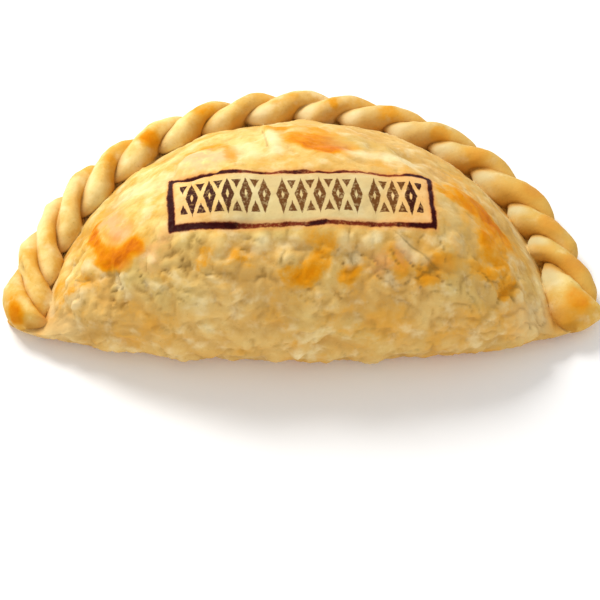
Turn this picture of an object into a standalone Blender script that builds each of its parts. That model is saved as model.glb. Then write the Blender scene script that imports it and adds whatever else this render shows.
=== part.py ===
"""A baked empanada: a round of dough folded over its filling into a half-moon, its curved edge
sealed with a rope crimp. It lies flat, as it came off the tray.

Metres, +Z up. The fold faces -Y, the rope crimp runs round the back from the left tip (-X) to the
right tip (+X), and the origin is at the middle of the footprint, on the tray.
"""

import math

import bmesh
import bpy
from mathutils import Vector, noise

# The folded round of dough
RIM_RADIUS = 0.0695  # the half circle of the rope's middle line
RIM_FULLNESS = 1.93  # exponent of that outline: 2 is a true circle
RIM_SKEW = -0.011  # the left shoulder is a little fuller than the right
TIP_REACH = 0.0735  # the dough under the rope reaches this far to each side
TIP_ROUNDNESS = 14  # exponent of the rounding of its edge there
BELLY = 0.0175  # how far the fold bulges in front of the line between the tips
BELLY_FULLNESS = 2.4
BELLY_ENDS = 0.6  # an exponent: less than 1 rounds the bulge off at the tips
FLANGE_REACH = 0.0690  # the doubled edge of the dough under the rope, at the back
FLANGE_THICKNESS = 0.0034

# The filled part of it
DOME_SIDE = 0.0633  # the crust meets the rope this far to each side of the middle
DOME_SKEW = 0.0055  # and this share further at the right, and less at the left
DOME_BACK = 0.0658  # and this far behind it
HEIGHT = 0.0385
BACK_FALL = 2.15  # how the crust falls from the middle to the rope: an exponent
SIDE_FALL = 0.7  # added to it towards the two tips, where the crust is fuller
SIDE_SHARPNESS = 4
TIP_FALL = 2.4  # exponent of the fold's fall towards the tips
FOLD_DEPTH = 0.0300  # the crust rises from the fold over this distance
FOLD_SHARE_AT_TIPS = 0.55  # and over this share of it at the tips
FOLD_ROUNDNESS = 2.2
FOLD_MIDDLE = 0.0125  # height of the fold's foremost line in the middle
FOLD_AT_TIPS = 0.0031  # and at the tips
FOOT_INSET = 0.0085  # the flat underside starts this far behind the foremost line
FOOT_SHARE = 0.3  # or, near the tips, this share of the way to the back

# The rope crimp, degrees being counted round the rim from the left tip
FIRST_NOTCH = 10.8  # where the first crease reaches the outside
FIRST_PITCH = 10.1  # from one crease to the next
PITCH_GROWTH = 0.15  # added for each crimp, as the maker's hand opened
CRIMPS = 15
UNEVEN_PITCH = {4: 1.5, 7: 1.0, 12: 0.8, 13: -1.8}  # for crimps that came out wider or narrower
CREASE_TURN = 9.6  # a crease reaches the body this many degrees before the outside
LEFT_TURN = 5.0  # added to that at the left, where the rope lies flatter
LEFT_TURN_END = 48.0  # and halved by here
LEFT_TURN_SHARPNESS = 6
LAST_TURN = 4.0  # added for the last crease
CREASE_BEND = 0.3  # 0 is a straight crease, more bends it round the outside
LEFT_END = (-1.5, 4.0)  # where the rope ends: at the outside, and the turn from there to the body
RIGHT_END = (183.0, -4.5)
ROPE_REACH = 0.0061  # how far it stands out from the middle line of the rim
LEFT_SPREAD = -0.0010  # added to that at the left end
LEFT_SPREAD_END = 30.0  # and halved by here
LEFT_SPREAD_SHARPNESS = 4
RIGHT_SPREAD = 0.0008  # added to it at the right end
RIGHT_SPREAD_START = 168.0
SEAM_OVERLAP = 0.0003  # and how far it runs into the crust
ROPE_MIDDLE = 0.0046  # height of its middle line
ROPE_HALF_HEIGHT = 0.0048
ROPE_CLEARANCE = 0.0002  # no point of it is lower than this
CREASE_DEPTH = 0.46  # as a share of the rope's thickness
OUTSIDE_DEPTH = 0.32  # and at the very outside
CRIMP_ROUNDNESS = 2.0
CRIMP_SLIMNESS = 0.58  # 0.5 is a round bulge between two creases, more a slimmer one
OUTSIDE_SLIMNESS = 0.35  # added to that on the outside, where the crimps are knuckles
UNEVENNESS = 0.06  # the crimps differ this much in thickness
UNEVEN_STEP = 0.23
END_DEPTH = 0.96  # the rope's two ends close as far as this
END_SLIMNESS = 0.45

# Relief of the baked crust
LUMP_SIZE = 0.017  # spacing of the lumps that the filling pushes up
LUMP_HEIGHT = 0.0011
LUMP_SEED = 0.3
DIMPLE_SIZE = 0.0075
DIMPLE_HEIGHT = 0.0003
DIMPLE_SEED = 1.59

# Fineness of the mesh
BODY_STEPS = 54
END_SLICE = 0.35  # the outermost sections stop this share of a step short of the tips
DOME_STEPS = 24
FLANGE_STEPS = 3
UNDER_STEPS = 5
CRIMP_STEPS = 8
ROPE_SIDES = 16

CRUST_COLOUR = (0.80, 0.56, 0.25)
CRUST_ROUGHNESS = 0.55


def rim_point(angle):
    """A point on the rope's middle line; 0 is the right tip, pi/2 the back, pi the left tip."""
    c, s = math.cos(angle), math.sin(angle)
    power = 2.0 / RIM_FULLNESS
    x = RIM_RADIUS * math.copysign(abs(c) ** power, c)
    y = RIM_RADIUS * math.copysign(abs(s) ** power, s) * (1.0 + RIM_SKEW * c)
    return Vector((x, y, 0.0))


def rim_frame(degrees_from_left):
    """The rim's point there and its outward direction."""
    angle = math.pi - math.radians(degrees_from_left)
    step = 0.01  # radians to each side, enough for the direction
    along = (rim_point(angle - step) - rim_point(angle + step)).normalized()
    return rim_point(angle), Vector((-along.y, along.x, 0.0))


def dome_side(x):
    """How far the crust reaches to the side that x is on."""
    return DOME_SIDE + DOME_SKEW * x


def dome_distance(x, y):
    """0 in the middle, 1 where the crust meets the rope, along a half ellipse."""
    return math.hypot(x / dome_side(x), y / DOME_BACK)


def dome_seam(x):
    """How far back the crust meets the rope at x."""
    share = min(1.0, abs(x) / dome_side(x))
    return DOME_BACK * math.sqrt(1.0 - share**2)


def dough_edge(x):
    """How far back the dough under the rope goes at x."""
    share = min(1.0, abs(x) / TIP_REACH)
    skew = 1.0 + RIM_SKEW * x / TIP_REACH
    return FLANGE_REACH * (1.0 - share**RIM_FULLNESS) ** (1.0 / RIM_FULLNESS) * skew


def fold_front(x):
    """How far forward the fold bulges at x."""
    share = min(1.0, abs(x) / TIP_REACH)
    return -BELLY * (1.0 - share**BELLY_FULLNESS) ** BELLY_ENDS


def lumps(x, y):
    """Soft unevenness of the crust, from the filling under it."""
    large = noise.noise(Vector((x / LUMP_SIZE, y / LUMP_SIZE, LUMP_SEED)))
    small = noise.noise(Vector((x / DIMPLE_SIZE, y / DIMPLE_SIZE, DIMPLE_SEED)))
    return LUMP_HEIGHT * large + DIMPLE_HEIGHT * small


def tip_fall(x):
    """Falls from 1 at the middle to 0 at the two tips."""
    return max(0.0, 1.0 - (abs(x) / TIP_REACH) ** TIP_FALL)


def tip_rounding(x):
    """1 almost everywhere, and 0 at the two tips, where the edge of the dough thins out."""
    return math.sqrt(max(0.0, 1.0 - (abs(x) / TIP_REACH) ** TIP_ROUNDNESS))


def behind_fold(x, y):
    """0 on the fold's foremost line, 1 where the crust has risen from it."""
    depth = FOLD_DEPTH * (FOLD_SHARE_AT_TIPS + (1.0 - FOLD_SHARE_AT_TIPS) * tip_fall(x))
    return min(1.0, max(0.0, (y - fold_front(x)) / depth))


def fullness(x, y):
    """Share of the full height that the filling gives the crust, falling to 0 at the rope."""
    distance = dome_distance(x, max(y, 0.0))
    sideways = abs(x) / max(math.hypot(x, max(y, 0.0)), 1e-6)
    fall = distance ** (BACK_FALL + SIDE_FALL * sideways**SIDE_SHARPNESS)
    rise = math.sqrt(1.0 - (1.0 - behind_fold(x, y)) ** FOLD_ROUNDNESS)
    return max(0.0, 1.0 - fall) * rise


def crust_height(x, y):
    """Height of the top of the dough, inside the rope."""
    front_height = FOLD_AT_TIPS + (FOLD_MIDDLE - FOLD_AT_TIPS) * tip_fall(x)
    edge = front_height + (FLANGE_THICKNESS - front_height) * behind_fold(x, y)
    edge *= tip_rounding(x)
    share = fullness(x, y)
    return edge + (HEIGHT - edge) * share + lumps(x, y) * math.sqrt(share)


def body_section(x):
    """One closed section of the folded dough at x: over the filled part from the fold to the
    rope, along the doubled edge, and back under it to the fold."""
    front, seam, edge = fold_front(x), dome_seam(x), dough_edge(x)
    points = []
    for step in range(DOME_STEPS + 1):
        share = 0.5 - 0.5 * math.cos(math.pi * step / DOME_STEPS)
        y = front + (seam - front) * share
        points.append(Vector((x, y, crust_height(x, y))))
    for step in range(1, FLANGE_STEPS + 1):
        place = seam + (edge - seam) * step / FLANGE_STEPS
        points.append(Vector((x, place, FLANGE_THICKNESS * tip_rounding(x))))
    points.append(Vector((x, edge, 0.0)))
    inset = min(FOOT_INSET, FOOT_SHARE * (edge - front))
    for step in range(UNDER_STEPS):
        turn = 0.5 * math.pi * (1.0 - step / UNDER_STEPS)
        place = front + inset * (1.0 - math.cos(turn))
        points.append(Vector((x, place, points[0].z * (1.0 - math.sin(turn)))))
    return points


def mesh_object(name, bm):
    bmesh.ops.recalc_face_normals(bm, faces=bm.faces)
    mesh = bpy.data.meshes.new(name)
    bm.to_mesh(mesh)
    bm.free()
    thing = bpy.data.objects.new(name, mesh)
    bpy.context.scene.collection.objects.link(thing)
    return thing


def tube(name, sections):
    """A closed solid through rings of points, its ends closed with a face each."""
    bm = bmesh.new()
    rings = [[bm.verts.new(p) for p in section] for section in sections]
    for first, second in zip(rings, rings[1:]):
        for i in range(len(first)):
            j = (i + 1) % len(first)
            bm.faces.new((first[i], first[j], second[j], second[i]))
    bm.faces.new(list(reversed(rings[0])))
    bm.faces.new(rings[-1])
    return mesh_object(name, bm)


def folded_body(name):
    """The folded dough over its filling, with a flat underside."""
    sections = []
    for step in range(BODY_STEPS + 1):
        turn = math.pi * (step + END_SLICE) / (BODY_STEPS + 2.0 * END_SLICE)
        sections.append(body_section(-TIP_REACH * math.cos(turn)))
    return tube(name, sections)


def fades(degrees, end, sharpness):
    """1 at the rope's left end, a half at `end` and falling to 0 from there."""
    return 1.0 / (1.0 + (max(0.0, degrees) / end) ** sharpness)


def crease_lines():
    """Where each crease starts at the outside and how far it turns back to the body, from the
    rope's left end to its right end, in degrees."""
    lines = [LEFT_END]
    notch = FIRST_NOTCH
    for count in range(CRIMPS + 1):
        turn = CREASE_TURN + LEFT_TURN * fades(notch, LEFT_TURN_END, LEFT_TURN_SHARPNESS)
        turn += LAST_TURN if count == CRIMPS else 0.0
        lines.append((notch, turn))
        notch += FIRST_PITCH + PITCH_GROWTH * count + UNEVEN_PITCH.get(count, 0.0)
    lines.append(RIGHT_END)
    return lines


def closes(first, second, share):
    """Whether the rope closes there, in the outer half of its first or last crimp."""
    return first == LEFT_END and share < 0.5 or second == RIGHT_END and share > 0.5


def crimp_size(first, second, share, side):
    """Size of the rope's section there, 1 at its fullest, less in the creases and at the ends."""
    outside = max(0.0, math.cos(side)) ** 2
    depth = CREASE_DEPTH + (OUTSIDE_DEPTH - CREASE_DEPTH) * outside
    slimness = CRIMP_SLIMNESS + OUTSIDE_SLIMNESS * outside
    if closes(first, second, share):
        depth, slimness = END_DEPTH, END_SLIMNESS
    bulge = (1.0 - abs(2.0 * share - 1.0) ** CRIMP_ROUNDNESS) ** slimness
    plump = 1.0 + UNEVENNESS * math.sin(UNEVEN_STEP * first[0])
    return 1.0 - depth + depth * bulge * plump


def rope_reach(degrees):
    """How far the rope stands out from the rim's middle line."""
    left = fades(degrees, LEFT_SPREAD_END, LEFT_SPREAD_SHARPNESS)
    right = max(0.0, degrees - RIGHT_SPREAD_START) / (180.0 - RIGHT_SPREAD_START)
    return ROPE_REACH + LEFT_SPREAD * left + RIGHT_SPREAD * right**2


def rope_point(first, second, share, side):
    """A point on the rope between two creases, side being the angle round its section from
    the outside over the top."""
    size = crimp_size(first, second, share, side)
    across = math.cos(side) * (min(1.0, size) if closes(first, second, share) else 1.0)
    inward = 0.5 - 0.5 * across
    inward += CREASE_BEND * inward * (1.0 - inward)
    start, end = (notch - turn * inward for notch, turn in (first, second))
    degrees = start + (end - start) * share
    point, outward = rim_frame(degrees)
    reach = rope_reach(degrees)
    to_crust = point.length * (1.0 - 1.0 / dome_distance(point.x, point.y))
    half_width = 0.5 * (reach + to_crust) + SEAM_OVERLAP
    place = point + outward * (reach - half_width + half_width * size * math.cos(side))
    place.z = max(ROPE_CLEARANCE, ROPE_MIDDLE + ROPE_HALF_HEIGHT * size * math.sin(side))
    return place


def rope(name):
    """The rope crimp: a round bead along the rim, creased on the slant as a twisted rope is."""
    lines = crease_lines()
    sections = []
    for index in range(len(lines) - 1):
        steps = CRIMP_STEPS + (1 if index == len(lines) - 2 else 0)
        for step in range(steps):
            share = 0.5 - 0.5 * math.cos(math.pi * step / CRIMP_STEPS)
            sections.append([rope_point(lines[index], lines[index + 1], share,
                                        2.0 * math.pi * side / ROPE_SIDES)
                             for side in range(ROPE_SIDES)])
    return tube(name, sections)


def fused(name, pieces, material):
    """One solid from overlapping pieces."""
    base, others = pieces[0], pieces[1:]
    group = bpy.data.collections.new("to_fuse")
    for piece in others:
        group.objects.link(piece)
    union = base.modifiers.new("fuse", "BOOLEAN")
    union.operation = "UNION"
    union.operand_type = "COLLECTION"
    union.collection = group
    union.solver = "EXACT"
    graph = bpy.context.evaluated_depsgraph_get()
    mesh = bpy.data.meshes.new_from_object(base.evaluated_get(graph))
    base.modifiers.clear()
    base.data = mesh
    base.name = name
    mesh.materials.clear()
    mesh.materials.append(material)
    mesh.shade_smooth()
    for piece in others:
        bpy.data.objects.remove(piece)
    bpy.data.collections.remove(group)
    return base


def centre_on_footprint(thing):
    """Move the mesh so that the middle of its footprint is at the origin."""
    for axis in (0, 1):
        places = [vertex.co[axis] for vertex in thing.data.vertices]
        shift = 0.5 * (min(places) + max(places))
        for vertex in thing.data.vertices:
            vertex.co[axis] -= shift


def crust_material():
    material = bpy.data.materials.new("baked_dough")
    material.use_nodes = True
    shader = material.node_tree.nodes["Principled BSDF"]
    shader.inputs["Base Color"].default_value = (*CRUST_COLOUR, 1.0)
    shader.inputs["Roughness"].default_value = CRUST_ROUGHNESS
    shader.inputs["Metallic"].default_value = 0.0
    return material


def main():
    for thing in list(bpy.data.objects):
        bpy.data.objects.remove(thing)
    pieces = [folded_body("body"), rope("rope")]
    empanada = fused("empanada", pieces, crust_material())
    centre_on_footprint(empanada)


main()
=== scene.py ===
import math

import bmesh
import bpy
import numpy as np
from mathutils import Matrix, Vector, kdtree, noise


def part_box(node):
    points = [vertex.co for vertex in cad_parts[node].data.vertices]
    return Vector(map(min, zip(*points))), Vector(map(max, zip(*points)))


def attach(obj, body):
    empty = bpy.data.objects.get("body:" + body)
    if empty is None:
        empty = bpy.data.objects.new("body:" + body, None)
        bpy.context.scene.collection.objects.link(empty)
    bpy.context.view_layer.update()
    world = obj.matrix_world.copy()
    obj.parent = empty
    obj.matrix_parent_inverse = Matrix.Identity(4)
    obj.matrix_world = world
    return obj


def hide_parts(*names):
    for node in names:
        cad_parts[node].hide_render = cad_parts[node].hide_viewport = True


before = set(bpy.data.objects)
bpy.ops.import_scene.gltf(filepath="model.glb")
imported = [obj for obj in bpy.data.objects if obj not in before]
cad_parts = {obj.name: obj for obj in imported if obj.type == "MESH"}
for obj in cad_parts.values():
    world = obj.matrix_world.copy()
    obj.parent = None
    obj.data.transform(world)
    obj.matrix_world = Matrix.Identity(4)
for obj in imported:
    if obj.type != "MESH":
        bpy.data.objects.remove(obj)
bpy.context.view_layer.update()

metre = 0.001  # everything below is in millimetres, counted from the line between the two tips

foldedDough = {  # a round of dough folded over its filling
    "rimRadius": 69.5,  # middle line of the rope
    "rimFullness": 1.93,  # 2 is a true circle
    "rimSkew": -0.011,  # the left shoulder is a little fuller
    "tipReach": 73.5,
    "tipRoundness": 14,
    "belly": 17.5,  # the fold bulges this far in front of the tips
    "bellyFullness": 2.4,
    "bellyEnds": 0.6,
    "flangeReach": 69.0,  # the doubled edge under the rope
    "flangeThickness": 3.4,
    "domeSide": 63.3,  # the crust meets the rope this far to each side
    "domeSkew": 0.0055,
    "domeBack": 65.8,  # and this far behind
    "height": 38.5,
    "backFall": 2.15,  # how the crust falls to the rope: more is a fuller crust
    "sideFall": 0.7,  # added towards the two tips
    "sideSharpness": 4,
    "tipFall": 2.4,
    "foldDepth": 30.0,  # the crust rises from the fold over this distance
    "foldShareAtTips": 0.55,
    "foldRoundness": 2.2,
    "foldMiddle": 12.5,  # height of the fold's foremost line
    "foldAtTips": 3.1,
    "footInset": 8.5,  # the flat underside starts this far behind that line
    "footShare": 0.3,
    "lumpSize": 17.0,  # pushed up by the filling
    "lumpHeight": 1.1,
    "lumpSeed": 0.3,
    "dimpleSize": 7.5,
    "dimpleHeight": 0.3,
    "dimpleSeed": 1.59,
    "flangeSteps": (0.3, 0.6, 0.8),
    "edgeRounding": ((0.5, 0.92), (0.1, 0.72), (0.0, 0.45), (0.2, 0.2), (0.8, 0.0)),  # inset, height
    "slices": 292,  # from tip to tip
    "tipCrowding": 0.45,  # closer together towards the tips, where the crust is steep
    "rows": 176,  # from the fold to the rope
    "underSteps": 18,  # round the fold to the underside
    "endSlice": 0.5,
}


def rimPoint(angle):  # 0 is the right tip, half a turn the left one
    c, s = math.cos(angle), math.sin(angle)
    power = 2.0 / foldedDough["rimFullness"]
    radius = foldedDough["rimRadius"]
    x = radius * math.copysign(abs(c) ** power, c)
    y = radius * math.copysign(abs(s) ** power, s) * (1.0 + foldedDough["rimSkew"] * c)
    return Vector((x, y, 0.0))


def rimFrame(degrees):  # a point of the rim and the way out from there
    angle = math.pi - math.radians(degrees)
    along = (rimPoint(angle - 0.01) - rimPoint(angle + 0.01)).normalized()
    return rimPoint(angle), Vector((-along.y, along.x, 0.0))


def domeSide(x):
    return foldedDough["domeSide"] + foldedDough["domeSkew"] * x


def domeDistance(x, y):  # 0 in the middle, 1 where the crust meets the rope
    return math.hypot(x / domeSide(x), y / foldedDough["domeBack"])


def domeSeam(x):  # where the crust meets the rope
    share = min(1.0, abs(x) / domeSide(x))
    return foldedDough["domeBack"] * math.sqrt(1.0 - share**2)


def doughEdge(x):
    d = foldedDough
    share = min(1.0, abs(x) / d["tipReach"])
    skew = 1.0 + d["rimSkew"] * x / d["tipReach"]
    return d["flangeReach"] * (1.0 - share ** d["rimFullness"]) ** (1.0 / d["rimFullness"]) * skew


def foldFront(x):  # the fold's foremost line
    d = foldedDough
    share = min(1.0, abs(x) / d["tipReach"])
    return -d["belly"] * (1.0 - share ** d["bellyFullness"]) ** d["bellyEnds"]


def lumps(x, y):
    d = foldedDough
    large = noise.noise(Vector((x / d["lumpSize"], y / d["lumpSize"], d["lumpSeed"])))
    small = noise.noise(Vector((x / d["dimpleSize"], y / d["dimpleSize"], d["dimpleSeed"])))
    return d["lumpHeight"] * large + d["dimpleHeight"] * small


def tipFall(x):
    return max(0.0, 1.0 - (abs(x) / foldedDough["tipReach"]) ** foldedDough["tipFall"])


def tipRounding(x):
    d = foldedDough
    return math.sqrt(max(0.0, 1.0 - (abs(x) / d["tipReach"]) ** d["tipRoundness"]))


def behindFold(x, y):  # 0 on the fold, 1 where it no longer rounds the crust
    d = foldedDough
    depth = d["foldDepth"] * (d["foldShareAtTips"] + (1.0 - d["foldShareAtTips"]) * tipFall(x))
    return min(1.0, max(0.0, (y - foldFront(x)) / depth))


def fullness(x, y):  # share of the full height
    d = foldedDough
    sideways = abs(x) / max(math.hypot(x, max(y, 0.0)), 1e-3)
    power = d["backFall"] + d["sideFall"] * sideways ** d["sideSharpness"]
    fall = domeDistance(x, max(y, 0.0)) ** power
    rise = math.sqrt(1.0 - (1.0 - behindFold(x, y)) ** d["foldRoundness"])
    return max(0.0, 1.0 - fall) * rise


def crustHeight(x, y):
    d = foldedDough
    front = d["foldAtTips"] + (d["foldMiddle"] - d["foldAtTips"]) * tipFall(x)
    edge = front + (d["flangeThickness"] - front) * behindFold(x, y)
    edge *= tipRounding(x)
    share = fullness(x, y)
    return edge + (d["height"] - edge) * share + lumps(x, y) * math.sqrt(share)


def bodySection(x):
    d = foldedDough
    front, seam, edge = foldFront(x), domeSeam(x), doughEdge(x)
    points = []
    for step in range(d["rows"] + 1):
        y = front + (seam - front) * (0.5 - 0.5 * math.cos(math.pi * step / d["rows"]))
        points.append(Vector((x, y, crustHeight(x, y))))
    for share in d["flangeSteps"]:
        points.append(Vector((x, seam + (edge - seam) * share, d["flangeThickness"] * tipRounding(x))))
    for inset, share in d["edgeRounding"]:
        points.append(Vector((x, edge - inset, d["flangeThickness"] * share * tipRounding(x))))
    inset = min(d["footInset"], d["footShare"] * (edge - front))
    for step in range(d["underSteps"]):
        turn = 0.5 * math.pi * (1.0 - step / d["underSteps"])
        y = front + inset * (1.0 - math.cos(turn))
        points.append(Vector((x, y, points[0].z * (1.0 - math.sin(turn)))))
    return points


def tube(name, sections):  # a closed solid through rings of points
    bm = bmesh.new()
    rings = [[bm.verts.new(p) for p in section] for section in sections]
    for first, second in zip(rings, rings[1:]):
        for i in range(len(first)):
            j = (i + 1) % len(first)
            bm.faces.new((first[i], first[j], second[j], second[i]))
    bm.faces.new(list(reversed(rings[0])))
    bm.faces.new(rings[-1])
    bmesh.ops.recalc_face_normals(bm, faces=bm.faces)
    mesh = bpy.data.meshes.new(name)
    bm.to_mesh(mesh)
    bm.free()
    thing = bpy.data.objects.new(name, mesh)
    bpy.context.scene.collection.objects.link(thing)
    return thing


def foldedBody():
    d = foldedDough
    sections = []
    for step in range(d["slices"] + 1):
        share = (step + d["endSlice"]) / (d["slices"] + 2 * d["endSlice"])
        place = (1.0 - d["tipCrowding"]) * (2 * share - 1) - d["tipCrowding"] * math.cos(math.pi * share)
        sections.append(bodySection(d["tipReach"] * place))
    return tube("body", sections)


ropeCrimp = {
    "firstNotch": 10.8,  # degrees round the rim from the left tip
    "firstPitch": 10.1,  # from one crease to the next
    "pitchGrowth": 0.15,
    "crimps": 15,  # and the two tucked ends
    "unevenPitch": {4: 1.5, 7: 1.0, 12: 0.8, 13: -1.8},
    "creaseTurn": 9.6,  # a crease reaches the crust this much before the outside
    "leftTurn": 5.0,  # added at the left, where the rope lies flatter
    "leftTurnEnd": 48.0,
    "leftTurnSharpness": 6,
    "lastTurn": 4.0,
    "creaseBend": 0.3,  # 0 is a straight crease
    "leftEnd": (-3.4, 3.4),
    "rightEnd": (183.0, -4.5),
    "reach": 6.1,  # from the rope's middle line outwards
    "leftSpread": -1.0,
    "leftSpreadEnd": 30.0,
    "leftSpreadSharpness": 4,
    "rightSpread": 0.8,
    "rightSpreadStart": 168.0,
    "seamOverlap": 1.0,  # how far it runs into the crust
    "middle": 4.6,
    "halfHeight": 4.8,
    "clearance": 0.2,
    "creaseDepth": 0.46,  # as a share of the rope's thickness
    "outsideDepth": 0.32,
    "crimpRoundness": 2.0,
    "crimpSlimness": 1.0,
    "lean": 1.15,  # every crimp is fullest a little past its middle
    "unevenness": 0.06,  # the crimps differ this much in thickness
    "unevenStep": 0.23,
    "endDepth": 0.96,  # how far the rope's two ends close
    "endSlimness": 0.45,
    "crimpSteps": 22,
    "sides": 48,
}


def fades(degrees, end, sharpness):  # from 1 at the left tip to a half at the end
    return 1.0 / (1.0 + (max(0.0, degrees) / end) ** sharpness)


def creaseLines():
    r = ropeCrimp
    lines = [r["leftEnd"]]
    notch = r["firstNotch"]
    for count in range(r["crimps"] + 1):
        turn = r["creaseTurn"]
        turn += r["leftTurn"] * fades(notch, r["leftTurnEnd"], r["leftTurnSharpness"])
        turn += r["lastTurn"] if count == r["crimps"] else 0.0
        lines.append((notch, turn))
        notch += r["firstPitch"] + r["pitchGrowth"] * count + r["unevenPitch"].get(count, 0.0)
    lines.append(r["rightEnd"])
    return lines


def closes(first, second, share):  # whether this is one of the rope's two ends
    r = ropeCrimp
    return first == r["leftEnd"] and share < 0.5 or second == r["rightEnd"] and share > 0.5


def crimpSize(first, second, share, side):
    r = ropeCrimp
    outside = max(0.0, math.cos(side)) ** 2
    depth = r["creaseDepth"] + (r["outsideDepth"] - r["creaseDepth"]) * outside
    slimness = r["crimpSlimness"]
    if closes(first, second, share):
        depth, slimness = r["endDepth"], r["endSlimness"]
    if first != r["leftEnd"] and second != r["rightEnd"]:
        share = share ** r["lean"]
    bulge = (1.0 - abs(2.0 * share - 1.0) ** r["crimpRoundness"]) ** slimness
    plump = 1.0 + r["unevenness"] * math.sin(r["unevenStep"] * first[0])
    return 1.0 - depth + depth * bulge * plump


def ropeReach(degrees):
    r = ropeCrimp
    left = fades(degrees, r["leftSpreadEnd"], r["leftSpreadSharpness"])
    right = max(0.0, degrees - r["rightSpreadStart"]) / (180.0 - r["rightSpreadStart"])
    return r["reach"] + r["leftSpread"] * left + r["rightSpread"] * right**2


def ropePoint(first, second, share, side):
    r = ropeCrimp
    size = crimpSize(first, second, share, side)
    across = math.cos(side) * (min(1.0, size) if closes(first, second, share) else 1.0)
    inward = 0.5 - 0.5 * across
    inward += r["creaseBend"] * inward * (1.0 - inward)
    start, end = (notch - turn * inward for notch, turn in (first, second))
    degrees = start + (end - start) * share
    point, outward = rimFrame(degrees)
    reach = ropeReach(degrees)
    toCrust = point.length * (1.0 - 1.0 / domeDistance(point.x, point.y))
    halfWidth = 0.5 * (reach + toCrust) + r["seamOverlap"]
    place = point + outward * (reach - halfWidth + halfWidth * size * math.cos(side))
    place.z = max(r["clearance"], r["middle"] + r["halfHeight"] * size * math.sin(side))
    return place


def twistedRope():
    r = ropeCrimp
    lines = creaseLines()
    sections, facts = [], []
    for index in range(len(lines) - 1):
        steps = r["crimpSteps"] + (1 if index == len(lines) - 2 else 0)
        for step in range(steps):
            share = 0.5 - 0.5 * math.cos(math.pi * step / r["crimpSteps"])
            sides = [2.0 * math.pi * side / r["sides"] for side in range(r["sides"])]
            sections.append([ropePoint(lines[index], lines[index + 1], share, s) for s in sides])
            facts += [(index, share, math.cos(s)) for s in sides]
    return tube("rope", sections), np.array(facts)


def fused(name, base, other):  # one closed skin round both
    union = base.modifiers.new("fuse", "BOOLEAN")
    union.operation = "UNION"
    union.object = other
    union.solver = "MANIFOLD"
    graph = bpy.context.evaluated_depsgraph_get()
    mesh = bpy.data.meshes.new_from_object(base.evaluated_get(graph))
    base.modifiers.clear()
    base.data = mesh
    base.name = name
    bpy.data.objects.remove(other)
    return base


def coordinates(mesh, what="co"):
    flat = np.empty(len(mesh.vertices) * 3)
    mesh.vertices.foreach_get(what, flat)
    return flat.reshape(-1, 3)


body = foldedBody()
rope, ropeFacts = twistedRope()
bodyPlaces, ropePlaces = coordinates(body.data), coordinates(rope.data)
empanada = fused("bakedEmpanada", body, rope)
places = coordinates(empanada.data)
print("dough folded and crimped:", len(places), "points")

# Whether each point came from the folded dough or from the rope, and where on its crimp it lies
finder = kdtree.KDTree(len(bodyPlaces) + len(ropePlaces))
for i, place in enumerate(np.vstack((bodyPlaces, ropePlaces))):
    finder.insert(place, i)
finder.balance()
source = np.array([finder.find(place)[1] for place in places])
onRope = source >= len(bodyPlaces)
crimpFacts = ropeFacts[np.clip(source - len(bodyPlaces), 0, None)]
crimpNumber, crimpShare, crimpOut = crimpFacts.T


def grain(points, size, seed):  # soft noise, -1 to 1
    return np.array([noise.noise(Vector(p)) for p in points / size + seed])


def cells(points, size, seed):
    # distances to the nearest and second nearest centre of a jittered lattice, in cell sizes
    scaled = points / size + seed
    base = np.floor(scaled).astype(np.int64)
    near, second = np.full(len(points), 9.0), np.full(len(points), 9.0)
    for step in np.ndindex(3, 3, 3):
        cell = base + step - 1
        mixed = cell[:, 0] * 73856093 ^ cell[:, 1] * 19349663 ^ cell[:, 2] * 83492791
        centre = cell.astype(float)
        for axis in range(3):
            mixed = (mixed ^ (mixed >> 13)) * 1274126177 & 0x7FFFFFFF
            centre[:, axis] += 0.1 + 0.8 * ((mixed >> 8) & 0xFFFF) / 65535.0
        distance = np.linalg.norm(scaled - centre, axis=1)
        second = np.minimum(second, np.maximum(near, distance))
        near = np.minimum(near, distance)
    return near, second


def smooth(value, low, high):  # a soft step from 0 to 1
    t = np.clip((value - low) / (high - low), 0.0, 1.0)
    return t * t * (3.0 - 2.0 * t)


def strokeDistance(points, route):  # from a line drawn over the crust
    nodes = [np.array((*spot, crustHeight(*spot)) if len(spot) == 2 else spot) for spot in route]
    if len(nodes) == 1:
        return np.linalg.norm(points - nodes[0], axis=1)
    distance = np.full(len(points), 1e3)
    for a, b in zip(nodes, nodes[1:]):
        t = np.clip((points - a) @ (b - a) / ((b - a) @ (b - a)), 0.0, 1.0)
        distance = np.minimum(distance, np.linalg.norm(points - a - t[:, None] * (b - a), axis=1))
    return distance


def strokeSide(points, route):  # 1 to the left of the nearest stretch of the line, -1 to the right
    best, side = np.full(len(points), 1e3), np.ones(len(points))
    for a, b in zip(route, route[1:]):
        a, b = np.array(a[:2]), np.array(b[:2])
        flat = points[:, :2] - a
        t = np.clip(flat @ (b - a) / ((b - a) @ (b - a)), 0.0, 1.0)
        distance = np.linalg.norm(flat - t[:, None] * (b - a), axis=1)
        turn = np.sign((b - a)[0] * flat[:, 1] - (b - a)[1] * flat[:, 0])
        side = np.where(distance < best, turn, side)
        best = np.minimum(best, distance)
    return side


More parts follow.
